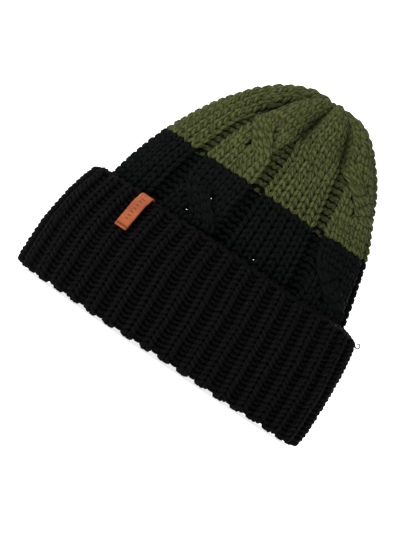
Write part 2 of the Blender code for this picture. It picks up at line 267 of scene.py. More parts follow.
# uneven hand of the knitting: a slow wander of the whole fabric
wander = {"waves": 26, "shortest": 9 * mm, "longest": 60 * mm, "amount": 0.85 * mm}
waveLength = np.geomspace(wander["shortest"], wander["longest"], wander["waves"])
waveWay = rng.normal(size=(wander["waves"], 3))
waveWay *= (2 * np.pi / waveLength / np.linalg.norm(waveWay, axis=1))[:, None]
wavePush = rng.normal(size=(wander["waves"], 3)) * (waveLength[:, None] / wander["longest"]) ** 0.7
wavePush *= wander["amount"] / math.sqrt(wander["waves"])
wavePhase = rng.uniform(0, 2 * np.pi, wander["waves"])


def settle(points):
    # the cuff sits a little to one side, and its top edge droops where the hat is folded flat
    moved = points.copy()
    x, z = points[:, 0], points[:, 2]
    ends = smooth((np.abs(x + 2 * mm) - 96 * mm) / (18 * mm))
    moved[:, 2] -= cuff["endSag"] * ends * smooth((z - 66 * mm) / (24 * mm))
    moved[:, 0] += cuff["offset"] * (1 - smooth((z - 60 * mm) / (30 * mm)))
    return moved


def wanderOf(points):
    phase = points @ waveWay.T + wavePhase
    return np.sin(phase) @ wavePush


# one knit loop: foot, leg, head, leg
def loopPhases(count):
    return 2 * np.pi * (np.arange(count) + 0.5) / count


def loopShape(face, setup):
    # rise (rows), sideways reach (widths), depth, thickness and lit share of each stitch, the lit share being
    # painted shade that darkens heads and feet behind the legs; face is 1 for knit, -1 for purl
    phases = loopPhases(setup["points"])[None, :]
    own = face[:, None]
    beside = np.where(phases < np.pi, np.roll(face, 1)[:, None], np.roll(face, -1)[:, None])
    reachOf = {1: setup["knitReach"], -1: setup["purlReach"]}
    ownReach = np.where(own > 0, reachOf[1], reachOf[-1])
    footReach = (ownReach + np.where(beside > 0, reachOf[1], reachOf[-1])) / 2
    rise = -np.cos(phases) * np.where(np.cos(phases) > 0, footReach, ownReach)
    foot = np.clip(np.cos(phases), 0, 1) ** 2
    depth = -np.cos(2 * phases) * own * (1 - foot) - (own + beside) / 2 * foot
    side = (phases - np.pi) / (2 * np.pi) + setup["loopLean"] * np.sin(2 * phases)
    side = side - np.where(own > 0, setup["spread"], 0) * np.sin(phases)
    thick = 1 - setup["plump"] * np.cos(2 * phases) - np.where(own < 0, setup["purlThin"], 0)
    # painted shade: 1 on the legs in front, 0 on the heads and feet behind, and purl stitches scaled down
    # further, darkening the hollows between yarns
    litShare = (0.5 - 0.5 * np.cos(2 * phases) * own) * np.where(own > 0, 1, setup["purlLitShare"])
    return rise, side + 0 * own, depth * setup["loopDepth"], np.stack([thick, litShare + 0 * thick])


def stitchJitter(shape, amount):
    # one small random number for each stitch, eased from stitch to stitch
    value = rng.normal(size=shape[0]) * amount
    after = np.roll(value, -1)
    ease = (np.arange(shape[1]) + 0.5) / shape[1]
    return value[:, None] * (1 - ease) + after[:, None] * ease


def toMesh(curve):
    # turns a bevelled curve into a mesh, with u along each yarn in centimetres
    obj = bpy.data.objects.new(curve.name, curve)
    bpy.context.scene.collection.objects.link(obj)
    mesh = bpy.data.meshes.new_from_object(obj.evaluated_get(bpy.context.evaluated_depsgraph_get()))
    bpy.data.objects.remove(obj, do_unlink=True)
    mesh.name = curve.name
    piece = bpy.data.objects.new(curve.name, mesh)
    bpy.context.scene.collection.objects.link(piece)
    mesh.shade_smooth()
    return piece


def yarnPiece(name, courses, radius, cyclic=True, sides=1):
    # lays every course of one piece as its own strand of yarn
    curve = bpy.data.curves.new(name, "CURVE")
    curve.dimensions = "3D"
    curve.bevel_depth = radius
    curve.bevel_resolution = sides
    curve.use_fill_caps = not cyclic
    lengths, counts = [], []
    for points in courses:
        spline = curve.splines.new("POLY")
        spline.points.add(len(points) - 1)
        flat = np.concatenate([points[:, :3], np.ones((len(points), 1))], axis=1)
        spline.points.foreach_set("co", flat.astype(np.float32).ravel())
        if points.shape[1] > 3:
            spline.points.foreach_set("radius", points[:, 3].astype(np.float32))
        spline.use_cyclic_u = cyclic
        spline.use_smooth = True
        lengths.append(np.linalg.norm(np.diff(points[:, :3], axis=0), axis=1).sum() / (10 * mm))
        counts.append(len(points))
    piece = toMesh(curve)
    mesh = piece.data
    corners = np.empty(len(mesh.loops) * 2, dtype=np.float32)
    mesh.uv_layers[0].data.foreach_get("uv", corners)
    corners = corners.reshape(-1, 2)
    around = 4 + 2 * sides
    # painted shade: each vertex carries its point's lit share, which the wool material turns into darkening
    litShare = np.ones(len(mesh.vertices), dtype=np.float32)
    if cyclic:
        corners[:, 0] *= np.repeat(lengths, np.array(counts) * around * 4)
        if courses[0].shape[1] > 4:
            litShare = np.repeat(np.concatenate([points[:, 4] for points in courses]), around)
    else:
        corners[:, 0] *= max(lengths)
    mesh.uv_layers[0].data.foreach_set("uv", corners.ravel())
    mesh.attributes.new("litShare", "FLOAT", "POINT").data.foreach_set("value", litShare.astype(np.float32))
    bpy.data.curves.remove(curve)
    return piece


# cabled fabric of body and crown
# one setting scales down the lit share of the purl stitches, a painted shade in the sunken purl columns
cable = {"units": 8, "frontGroove": -0.0192, "knitWidth": 7.0, "cableWidth": 6.2, "purlWidth": 4.3,
         "crossings": (-6.4, 5.9), "crossRows": 5.2, "quickRows": 2.0, "over": 2.7 * mm, "under": 2.0 * mm,
         "purlEnds": (6.0, 9.0), "endings": (99, 99, 99, 17.2, 14.6, 11.4), "endRows": 2.2,
         "knitReach": 0.84, "purlReach": 0.64, "loopLean": 0.235, "loopDepth": 2.0 * mm,
         "yarn": 1.50 * mm, "plump": 0.15, "purlThin": -0.08, "points": 16, "groove": -2.7 * mm,
         "turnRows": 0.6, "crossPlump": 1.14, "topPlump": 0.22, "spread": 0.035, "purlLitShare": 0.7,
         "pinch": 0.13, "band": 1.1 * mm, "crease": -10.0 * mm,
         "puff": 3.0 * mm, "lastRow": 18.0, "seamSink": 1.6 * mm}
unitWeights = np.array([6 * cable["knitWidth"], 6 * cable["cableWidth"]]) + 2 * cable["purlWidth"]
unitWeights = np.tile(unitWeights, cable["units"] // 2)
unitShare = unitWeights / unitWeights.sum()
unitStart = cable["frontGroove"] + np.concatenate([[0], np.cumsum(unitShare)[:-1]])


def seamSink(share, around, amount):
    # the fabric draws in along the sewn line at the back
    away = (share % 1.0 - 0.5) * around
    return -amount * np.exp(-(away / (3.2 * mm)) ** 2)


def columnsOf(row, crossed):
    # centre and width of a unit's eight columns at a row, as shares of the unit
    width = np.empty(row.shape + (8,))
    low, high = cable["purlEnds"]
    width[..., 0] = width[..., 7] = cable["purlWidth"] * (1 - smooth((row - low) / (high - low)))
    knit = cable["cableWidth"] if crossed else cable["knitWidth"]
    for i, end in enumerate(cable["endings"]):
        width[..., 1 + i] = knit * (1 - smooth((row - end) / cable["endRows"] + 0.5))
    if crossed:
        for crossing in cable["crossings"]:
            pinch = cable["pinch"] * smooth(1 - np.abs(row - crossing) / 5)[..., None]
            grow = (width[..., 1:7].sum(axis=-1, keepdims=True) * pinch) / 2
            width[..., 1:7] *= 1 - pinch
            width[..., [0, 7]] += grow
    width /= width.sum(axis=-1, keepdims=True)
    return np.cumsum(width, axis=-1) - width / 2, width


def take(values, column):
    index = np.broadcast_to(column.reshape(-1, 1, 1), values.shape[:-1] + (1,))
    return np.take_along_axis(values, index, axis=-1)[..., 0]


def reliefOf(share, row, widthOfUnit, crossed):
    # how far the fabric stands in or out, from grooves to bands to the top's folds
    fromEdge = np.minimum(share, 1 - share) * widthOfUnit
    purl = cable["purlWidth"] * mm * (1 - smooth((row - cable["purlEnds"][0]) / 3))
    flat = cable["groove"] + (cable["band"] - cable["groove"]) * smooth((fromEdge - 0.55 * purl) / (4 * mm))
    rope = 1.0 * mm * (1 - np.abs(2 * ((share * 2) % 1.0) - 1) ** 2) - 0.3 * mm if crossed else 0.0
    dome = np.clip(np.sin(np.pi * np.clip(share, 0, 1)), 0, 1) ** 0.7
    folded = cable["crease"] + (cable["puff"] - cable["crease"]) * dome
    folded = folded * np.minimum(1, widthOfUnit / (26 * mm))
    mix = smooth((row - 6.0) / 5.0)
    return (flat + rope) * (1 - mix) + folded * mix


def cableLines(row, rows, column, crossing):
    # where the columns of a cable run: centre, width, stand and sideways speed near a crossing
    later = row > crossing
    knit = ((column > 0) & (column < 7))[:, None]
    swapped = np.where((column >= 1) & (column <= 3), column + 3,
                       np.where((column >= 4) & (column <= 6), column - 3, column))
    centres, widths = columnsOf(rows, True)
    own, ownWidth = take(centres, column), take(widths, column)
    away, awayWidth = take(centres, swapped) - own, take(widths, swapped) - ownWidth
    isOver = (column <= 3) if later else (column >= 4)
    lower = np.where(isOver, 2, column - 3 if later else column)
    shift = (2 - lower)[:, None] * 0.30 * cable["crossRows"]
    span = np.where(isOver, cable["crossRows"], cable["quickRows"])[:, None]
    along = np.clip((rows - crossing - shift) / span + 0.5, 0, 1)
    mix = np.where(knit, 1 - smooth(along) if later else smooth(along), 0)
    speed = np.where(knit & isOver[:, None], away * 6 * along * (1 - along) / span * (-1 if later else 1), 0)
    hump = smooth(1 - np.abs(rows - crossing - shift) / (span * 0.68))
    middle = 1 + 0.25 * ((column == 2) | (column == 5))
    push = np.where(isOver, cable["over"] * middle, -cable["under"])[:, None]
    return own + away * mix, ownWidth + awayWidth * mix, np.where(knit, push * hump, 0), speed


def hatCourse(row):
    # path of the yarn once round the hat, for one row of knitting
    paths, extras = [], []
    around = hatSurface.around(np.array([row]))[0]
    for unit in range(cable["units"]):
        crossed = unit % 2 == 1
        _, widthNow = columnsOf(np.array([float(row)]), crossed)
        unitWidth = unitShare[unit] * around
        column = np.nonzero(widthNow[0] * unitWidth > 2.0 * mm)[0]
        face = np.where((column > 0) & (column < 7), 1, -1)
        knit = face[:, None] > 0
        rise, side, depth, thick = loopShape(face, cable)
        thick[0] = thick[0] * (1 + cable["topPlump"] * smooth((row - 11) / 5))
        rows = row + rise + stitchJitter(rise.shape, 0.05)
        near = [c for c in cable["crossings"] if crossed and abs(row - c) < cable["crossRows"] + 3]
        if near:
            thick[0] = thick[0] * cable["crossPlump"]
            mid = np.where(column > 3, column - 5, column - 2)[:, None]
            _, width, _, speed = cableLines(row, rows, column, near[0])
            offset = (mid + side) * width * unitWidth
            rows = rows - cable["turnRows"] * speed * unitWidth / hat["rowHeight"] ** 2 * offset
            centre, width, stand, _ = cableLines(row, rows, column, near[0])
        else:
            centres, widths = columnsOf(rows, crossed)
            centre, width, stand = take(centres, column), take(widths, column), 0 * rows
        share = centre + width * side
        place = unitStart[unit] + share * unitShare[unit]
        relief = reliefOf(share, rows, unitWidth, crossed)
        stand = stand + depth + relief
        # painted shade: the lit share falls in the deep valleys between the crown's folds
        thick[1] = thick[1] * (0.3 + 0.7 * smooth((relief + 6 * mm) / (5 * mm)))
        stand = stand + stitchJitter(rows.shape, 0.15 * mm) + seamSink(place, around, cable["seamSink"])
        paths.append(hatSurface.place(place, rows, stand).reshape(-1, 3))
        extras.append(thick.reshape(2, -1).T)
    path = np.concatenate(paths)
    return np.column_stack([path + wanderOf(path), np.concatenate(extras)])


print("knitting the body and the crown")
bodyRows = np.arange(math.ceil(hatSurface.rows[0] + 0.9), 0)
crownRows = np.arange(0, cable["lastRow"])
bodyKnit = yarnPiece("bodyKnit", [hatCourse(r) for r in bodyRows], cable["yarn"], sides=2)
crownLow = yarnPiece("crownKnitLow", [hatCourse(r) for r in crownRows[:11]], cable["yarn"], sides=2)
crownHigh = yarnPiece("crownKnitHigh", [hatCourse(r) for r in crownRows[11:]], cable["yarn"], sides=2)


# rib of cuff, hem and brim
# one setting scales down the lit share of the purl stitches, a painted shade in the sunken purl columns
rib = {"knitShare": 0.58, "firstRib": 0.0118, "knitReach": 0.84, "purlReach": 0.56, "loopLean": 0.265,
       "loopDepth": 1.35 * mm, "yarn": 1.50 * mm, "plump": 0.20, "purlThin": 0.0, "spread": 0.015,
       "purlLitShare": 0.55, "points": 14,
       "relief": 1.5 * mm, "foldRelief": 0.6, "slant": 2.0 * mm, "slantMore": 2.0 * mm, "seamSink": 1.2 * mm}


def ribShear(share, z):
    # the ribs drift sideways a little towards the top edge, most at the front right
    near = ((share + 0.5) % 1.0) - 0.5
    drift = rib["slant"] + rib["slantMore"] * np.exp(-((near - 0.06) / 0.09) ** 2)
    return -drift / 0.58 * np.clip((z - 0.012) / 0.075, 0, 1.1)


def ribCourse(row):
    count = 2 * cuff["ribs"]
    column = np.arange(count)
    face = np.where(column % 2 == 0, 1, -1)
    rise, side, depth, thick = loopShape(face, rib)
    width = np.where(face > 0, rib["knitShare"], 1 - rib["knitShare"])[:, None] / cuff["ribs"]
    centre = rib["firstRib"] + column[:, None] / count
    rows = row + rise + stitchJitter(rise.shape, 0.06)
    share = centre + width * side
    height = np.interp(rows, cuffSurface.rows, cuffSurface.section[:, 2])
    relief = rib["relief"] * (1 - (1 - rib["foldRelief"]) * np.exp(-(height / (8 * mm)) ** 2))
    stand = depth + relief * np.cos(2 * np.pi * cuff["ribs"] * (share - rib["firstRib"]))
    share = share + ribShear(share, height)
    around = cuffSurface.around(np.array([row]))[0]
    stand = stand + stitchJitter(rows.shape, 0.12 * mm) + seamSink(share, around, rib["seamSink"])
    path = settle(cuffSurface.place(share, rows, stand).reshape(-1, 3))
    return np.column_stack([path + wanderOf(path), thick.reshape(2, -1).T])


print("knitting the cuff and the brim")
ribRows = np.arange(0.75, cuffSurface.rows[-1] - 0.3)
foldFrom, foldTo = cuffSurface.rows[[395, 482]]
outerRows = ribRows[ribRows < foldFrom - 0.4]
foldRows = ribRows[(ribRows >= foldFrom - 0.4) & (ribRows <= foldTo + 0.4)]
innerRows = ribRows[ribRows > foldTo + 0.4]
half = len(outerRows) // 2
cuffHigh = yarnPiece("cuffKnitHigh", [ribCourse(r) for r in outerRows[:half]], rib["yarn"])
cuffLow = yarnPiece("cuffKnitLow", [ribCourse(r) for r in outerRows[half:]], rib["yarn"])
hemKnit = yarnPiece("hemKnit", [ribCourse(r) for r in foldRows], rib["yarn"])
half = len(innerRows) // 2
brimLow = yarnPiece("brimKnitLow", [ribCourse(r) for r in innerRows[:half]], rib["yarn"])
brimHigh = yarnPiece("brimKnitHigh", [ribCourse(r) for r in innerRows[half:]], rib["yarn"])
print("rib rows", len(outerRows), len(foldRows), len(innerRows))


# finished chain along the cuff's top edge
chain = {"links": 72, "half": 1.35 * mm, "depth": 0.9 * mm, "yarn": 1.25 * mm, "height": 87.3 * mm,
         "tilt": 72.0, "inset": 3.4 * mm, "samples": 14}
chainLink = {"along": (0.0, 0.35, 1.0, 1.55, 1.0, 0.35, 0.62), "across": (0, -0.85, -1, 0, 1, 0.85, 0),
             "out": (-1.2, -0.2, 1.0, 0.3, 1.0, -0.2, -1.2)}


def eased(points, count, cyclic=True):
    # resamples a path evenly through its points with a smooth curve
    n = len(points)
    spots = np.linspace(0, n if cyclic else n - 1, count, endpoint=not cyclic)
    i = np.floor(spots).astype(int)
    if not cyclic:
        i = np.minimum(i, n - 2)
    f = (spots - i)[:, None]
    pick = (lambda k: points[k % n]) if cyclic else (lambda k: points[np.clip(k, 0, n - 1)])
    p0, p1, p2, p3 = pick(i - 1), pick(i), pick(i + 1), pick(i + 2)
    return 0.5 * (2 * p1 + (p2 - p0) * f + (2 * p0 - 5 * p1 + 4 * p2 - p3) * f ** 2
                  + (3 * p1 - p0 - 3 * p2 + p3) * f ** 3)


def chainPath():
    links = np.arange(chain["links"])[:, None]
    along = ((links + np.array(chainLink["along"])[None, :]) / chain["links"]).ravel()
    across = np.tile(chainLink["across"], chain["links"]) * chain["half"]
    out = np.tile(chainLink["out"], chain["links"]) * chain["depth"]
    a, b = cuffAxes(cuff["height"], chain["inset"])
    t = np.interp(along, *cuffSurface.angles)
    normal = np.stack([np.sin(t) / a, -np.cos(t) / b, 0 * t], axis=1)
    normal /= np.linalg.norm(normal, axis=1, keepdims=True)
    up = np.array([[0, 0, 1.0]])
    tilt = math.radians(chain["tilt"])
    outward = normal * math.cos(tilt) + up * math.sin(tilt)
    sideways = -normal * math.sin(tilt) + up * math.cos(tilt)
    centre = np.stack([a * np.sin(t), -b * np.cos(t), chain["height"] + 0 * t], axis=1)
    path = centre + sideways * across[:, None] + outward * out[:, None]
    path = settle(eased(path, chain["links"] * chain["samples"]))
    return path + wanderOf(path)


edgeChain = yarnPiece("edgeChain", [chainPath()], chain["yarn"])


# sewn seams at the back: a whipped yarn over a straight one
seam = {"core": 0.9 * mm, "whip": 0.7 * mm, "turn": 1.35 * mm, "pitch": 4.2 * mm, "samples": 12}


def seamPiece(name, line):
    steps = np.concatenate([[0], np.cumsum(np.linalg.norm(np.diff(line, axis=0), axis=1))])
    turns = steps[-1] / seam["pitch"]
    spots = np.linspace(0, steps[-1], int(turns * seam["samples"]))
    middle = np.stack([np.interp(spots, steps, line[:, i]) for i in range(3)], axis=1)
    run = np.gradient(middle, axis=0)
    run /= np.linalg.norm(run, axis=1, keepdims=True)
    side = np.cross(run, [1.0, 0, 0])
    angle = 2 * np.pi * spots / seam["pitch"]
    whip = middle + seam["turn"] * (np.cos(angle)[:, None] * [1.0, 0, 0] + np.sin(angle)[:, None] * side)
    return yarnPiece(name, [middle[::6], whip], seam["whip"], cyclic=False)


def seamLine(axesAt, low, high, inset, shiftAt=None):
    z = np.linspace(low, high, 40)
    _, b = axesAt(z, inset)
    return np.stack([0 * z if shiftAt is None else shiftAt(z), b, z], axis=1)


# each seam: its lower end, its upper end and how far it lies inside
seamEnds = {"crown": (139 * mm, 206 * mm, 8.6 * mm), "body": (85 * mm, 137 * mm, 8.6 * mm),
            "brim": (11 * mm, 77 * mm, 7.4 * mm), "cuff": (35 * mm, 83 * mm, 6.0 * mm)}
crownSeam = seamPiece("crownSeam", seamLine(hatAxes, *seamEnds["crown"], hatLean))
bodySeam = seamPiece("bodySeam", seamLine(hatAxes, *seamEnds["body"]))
brimSeam = seamPiece("brimSeam", seamLine(brimAxes, *seamEnds["brim"]))
cuffSeam = seamPiece("cuffSeam", seamLine(cuffAxes, *seamEnds["cuff"]))


# gathered top: the last loops, the thread through them, and its knot inside
gather = {"loops": 24, "centre": 7.9 * mm, "long": 7.4 * mm, "short": 4.2 * mm, "top": 213.4 * mm,
          "yarn": 1.55 * mm, "samples": 10, "thread": 0.9 * mm, "threadTop": 211.0 * mm, "knot": 2.3 * mm,
          "knotTop": 206.6 * mm}


def gatherPath():
    spots = np.arange(gather["loops"] * gather["samples"]) / gather["samples"]
    t = 2 * np.pi * spots / gather["loops"]
    wave = np.cos(2 * np.pi * spots)
    reach = 0.66 + 0.34 * wave
    lift = np.sin(2 * np.pi * spots) * 0.9 * mm - 0.8 * mm * (1 - wave)
    path = np.stack([gather["centre"] + gather["long"] * reach * np.sin(t),
                     -gather["short"] * reach * np.cos(t), gather["top"] + lift], axis=1)
    return path


def threadPath():
    t = np.linspace(0, 2 * np.pi, 60, endpoint=False)
    return np.stack([gather["centre"] + 0.62 * gather["long"] * np.sin(t), -0.8 * gather["short"] * np.cos(t),
                     gather["threadTop"] + 0.35 * mm * np.sin(5 * t)], axis=1)


def knotPath():
    t = np.linspace(0, 2 * np.pi, 90, endpoint=False)
    r = gather["knot"] * 0.42
    return np.stack([gather["centre"] + r * (np.sin(t) + 1.6 * np.sin(2 * t)),
                     r * (np.cos(t) - 1.6 * np.cos(2 * t)) * 0.9,
                     gather["knotTop"] + 1.5 * r * np.sin(3 * t)], axis=1)


crownGather = yarnPiece("crownGather", [gatherPath()], gather["yarn"])
gatherThread = yarnPiece("gatherThread", [threadPath()], gather["thread"])
gatherKnot = yarnPiece("gatherKnot", [knotPath()], gather["thread"])
print("edge, seams and gather made")


# leather strip folded over the cuff's edge
strap = {"width": 10.0 * mm, "thick": 1.2 * mm, "bottom": 61.5 * mm, "angle": -37.2, "lean": 2.0,
         "lift": 1.5 * mm, "edge": 4.2 * mm, "drop": 2.6 * mm, "corner": 0.42 * mm,
         "stitches": 4, "pitch": 2.4 * mm, "stitch": 1.9 * mm, "thread": 0.42 * mm, "row": 2.2 * mm}


def strapFrame():
    t = math.radians(strap["angle"])
    a, b = cuffAxes(strap["bottom"], 0.0)
    out = np.array([math.sin(t) / a, -math.cos(t) / b, 0])
    out /= np.linalg.norm(out)
    across = np.array([-out[1], out[0], 0])
    along = np.array([0, 0, 1.0]) + across * math.tan(math.radians(strap["lean"]))
    return np.array([a * math.sin(t), -b * math.cos(t), 0]), out, across, along


def strapReach(z, axes):
    # smallest and largest distance, along out, to an oval across the strip's width
    foot, out, across, _ = strapFrame()
    found = []
    for u in (-1, 0, 1):
        side = (z - strap["bottom"]) * math.tan(math.radians(strap["lean"]))
        start = foot + across * (side + strap["width"] / 2 * u)
        square = (out[0] / axes[0]) ** 2 + (out[1] / axes[1]) ** 2
        mid = start[0] * out[0] / axes[0] ** 2 + start[1] * out[1] / axes[1] ** 2
        rest = (start[0] / axes[0]) ** 2 + (start[1] / axes[1]) ** 2 - 1.0
        found.append((-mid + math.sqrt(mid * mid - square * rest)) / square)
    return min(found), max(found)


def strapPath():
    stand = strap["lift"] + strap["thick"] / 2
    low, high = strap["bottom"], cuff["height"] - strap["edge"] / 2 - strap["drop"]
    legs = np.linspace(low, high - strap["edge"] / 2, 14)
    path = [(strapReach(z, cuffAxes(z, 0.0))[1] + stand, z) for z in legs]
    near, far = strapReach(cuff["height"], cuffAxes(cuff["height"], cuff["leaf"] / 2))
    turn = strap["edge"] / 2 + stand
    middle, half = (near + far) / 2, (far - near) / 2 + turn
    for t in np.linspace(0, np.pi, 17):
        path.append((middle + half * math.cos(t), high + turn * math.sin(t)))
    path += [(strapReach(z, cuffAxes(z, cuff["leaf"]))[0] - stand, z) for z in legs[::-1]]
    return np.array(path)


def makeStrap():
    foot, out, across, along = strapFrame()
    path = eased(strapPath(), 70, cyclic=False)
    run = np.gradient(path, axis=0)
    run /= np.linalg.norm(run, axis=1, keepdims=True)
    length = np.concatenate([[0], np.cumsum(np.linalg.norm(np.diff(path, axis=0), axis=1))])
    w, h, r = strap["width"] / 2, strap["thick"] / 2, strap["corner"]
    outline = [(-w, -h + r), (-w + r, -h)] + [(x, -h) for x in np.linspace(-0.8, 0.8, 7) * w] + [(w - r, -h)]
    outline += [(w, -h + r)] + [(-x, -y) for x, y in outline][:-1] + [(-w, h - r)]
    outline = list(dict.fromkeys((round(x, 7), round(y, 7)) for x, y in outline))
    bm = bmesh.new()
    uv = bm.loops.layers.uv.new("UVMap")
    rings = []
    for (dist, z), (dx, dz), s in zip(path, run, length):
        side = out * -dz + np.array([0, 0, 1.0]) * dx
        cut = 0.25 * mm * np.exp(-s / (0.8 * mm)) + 0.25 * mm * np.exp(-(length[-1] - s) / (0.8 * mm))
        centre = foot + out * dist + along * (z - strap["bottom"]) + [0, 0, strap["bottom"]]
        ring = []
        for x, y in outline:
            sag = 0.18 * mm * math.sin(s / (5 * mm)) * (abs(x) / w) ** 2
            point = centre + across * x * (1 - cut / w) + side * (y * (1 - cut / h * 0.5) + sag)
            ring.append(bm.verts.new(point))
        rings.append(ring)
    count = len(outline)
    for i in range(len(rings) - 1):
        for k in range(count):
            n = (k + 1) % count
            face = bm.faces.new((rings[i][k], rings[i][n], rings[i + 1][n], rings[i + 1][k]))
            for loop, (row, col) in zip(face.loops, ((i, k), (i, n), (i + 1, n), (i + 1, k))):
                loop[uv].uv = (outline[col][0] / (10 * mm), length[row] / (10 * mm))
    for ring, i in ((rings[0], 0), (rings[-1], -1)):
        face = bm.faces.new(ring)
        for loop, point in zip(face.loops, outline):
            loop[uv].uv = (point[0] / (10 * mm), length[i] / (10 * mm))
    bmesh.ops.recalc_face_normals(bm, faces=bm.faces)
    mesh = bpy.data.meshes.new("leatherStrap")
    bm.to_mesh(mesh)
    bm.free()
    mesh.shade_smooth()
    piece = bpy.data.objects.new("leatherStrap", mesh)
    bpy.context.scene.collection.objects.link(piece)
    print("strip length", round(length[-1] * 1000, 1))
    return piece, length[-1]


def makeStitch(number):
    foot, out, across, along = strapFrame()
    dist = strapPath()[0][0] + strap["thick"] / 2
    middle = foot + out * dist + along * strap["row"] + [0, 0, strap["bottom"]]
    middle = middle + across * strap["pitch"] * (number - (strap["stitches"] - 1) / 2)
    x = np.linspace(-1, 1, 13)
    lift = 0.34 * mm - 1.0 * mm * np.abs(x) ** 4
    points = middle + across * (x * strap["stitch"] / 2)[:, None] + out * lift[:, None]
    return yarnPiece("labelStitch%d" % (number + 1), [points], strap["thread"], cyclic=False)


leatherStrap, strapLength = makeStrap()
labelStitches = [makeStitch(i) for i in range(strap["stitches"])]


# small loose loop of yarn at the cuff's upper corner
loose = {"at": 111.4 * mm, "height": 85.2 * mm, "radius": 1.5 * mm, "yarn": 0.40 * mm, "open": 150,
         "twist": 0.4 * mm}


def loosePath():
    t = np.linspace(math.radians(-loose["open"]), math.radians(loose["open"]), 26)
    path = np.stack([loose["at"] + loose["radius"] * (np.cos(t) + 0.9), loose["twist"] * np.sin(2 * t),
                     loose["height"] + loose["radius"] * 1.2 * np.sin(t)], axis=1)
    return path


yarnLoop = yarnPiece("yarnLoop", [loosePath()], loose["yarn"], cyclic=False)


# loose fibres standing off the yarn
fuzz = {"length": 3.2 * mm, "thick": 0.035 * mm, "lift": 0.9 * mm, "points": 4}


def fuzzPiece(name, source, count, radius):
    # short curled fibres, each starting on the yarn and lifting outwards
    mesh = source.data
    spots = np.empty(len(mesh.vertices) * 3, dtype=np.float32)
    mesh.vertices.foreach_get("co", spots)
    normals = np.empty(len(mesh.vertices) * 3, dtype=np.float32)
    mesh.vertex_normals.foreach_get("vector", normals)
    chosen = rng.choice(len(mesh.vertices), count, replace=False)
    spots, normals = spots.reshape(-1, 3)[chosen], normals.reshape(-1, 3)[chosen]
    outwards = spots / [hat["halfWidth"] ** 2, hat["halfDepth"] ** 2, hat["height"] ** 2]
    keep = (normals * outwards).sum(axis=1) > 0
    spots, normals = spots[keep].astype(float), normals[keep].astype(float)
    way = rng.normal(size=spots.shape)
    way -= normals * (way * normals).sum(axis=1, keepdims=True)
    way /= np.linalg.norm(way, axis=1, keepdims=True)
    bend = np.cross(normals, way) * rng.normal(size=(len(spots), 1))
    reach = fuzz["length"] * rng.uniform(0.4, 1.0, (len(spots), 1))
    rise = fuzz["lift"] * rng.uniform(0.2, 1.0, (len(spots), 1))
    curve = bpy.data.curves.new(name, "CURVE")
    curve.dimensions = "3D"
    curve.bevel_depth = radius
    curve.bevel_resolution = 0
    paths = []
    for f in np.linspace(0, 1, fuzz["points"]):
        paths.append(spots + way * reach * f + bend * reach * 0.5 * f ** 2
                     + normals * rise * math.sin(2.4 * f))
    paths = np.stack(paths, axis=1)
    for path in paths:
        spline = curve.splines.new("POLY")
        spline.points.add(len(path) - 1)
        flat = np.concatenate([path, np.ones((len(path), 1))], axis=1)
        spline.points.foreach_set("co", flat.astype(np.float32).ravel())
        spline.points.foreach_set("radius", np.linspace(1, 0.35, len(path)).astype(np.float32))
    curve.use_fill_caps = True
    piece = toMesh(curve)
    # the fibres carry a lit share of one, so they get no painted shade
    piece.data.attributes.new("litShare", "FLOAT", "POINT").data.foreach_set(
        "value", np.ones(len(piece.data.vertices), dtype=np.float32))
    bpy.data.curves.remove(curve)
    return piece


oliveFuzz = fuzzPiece("oliveFuzz", crownLow, 2600, fuzz["thick"])
topFuzz = fuzzPiece("topFuzz", crownHigh, 1400, fuzz["thick"])
bodyFuzz = fuzzPiece("bodyFuzz", bodyKnit, 2600, fuzz["thick"])
cuffFuzzHigh = fuzzPiece("cuffFuzzHigh", cuffHigh, 2200, fuzz["thick"])
cuffFuzzLow = fuzzPiece("cuffFuzzLow", cuffLow, 2400, fuzz["thick"])
hemFuzz = fuzzPiece("hemFuzz", hemKnit, 1000, fuzz["thick"])
print("fibres made")


# shared surface effects
def addNode(tree, kind, inputs=None, **settings):
    node = tree.nodes.new("ShaderNode" + kind)
    for name, value in settings.items():
        setattr(node, name, value)
    for key, value in (inputs or {}).items():
        if isinstance(value, bpy.types.NodeSocket):
            tree.links.new(value, node.inputs[key])
        else:
            node.inputs[key].default_value = value
    return node


def math2(tree, operation, first, second=0.0, third=0.0):
    return addNode(tree, "Math", {0: first, 1: second, 2: third}, operation=operation).outputs[0]


def newGroup(name, ins, outs):
    tree = bpy.data.node_groups.new(name, "ShaderNodeTree")
    for label, kind in ins:
        tree.interface.new_socket(label, in_out="INPUT", socket_type="NodeSocket" + kind)
    for label, kind in outs:
        tree.interface.new_socket(label, in_out="OUTPUT", socket_type="NodeSocket" + kind)
    start, end = tree.nodes.new("NodeGroupInput"), tree.nodes.new("NodeGroupOutput")
    return tree, start, end


fleckColours = ((0.05, (0.20, 0.03, 0.012)), (0.30, (0.28, 0.09, 0.015)), (0.55, (0.28, 0.22, 0.04)),
                (0.75, (0.012, 0.11, 0.12)))
twist = {"plies": 3, "turns": 2.1, "fibreScale": 6.0}


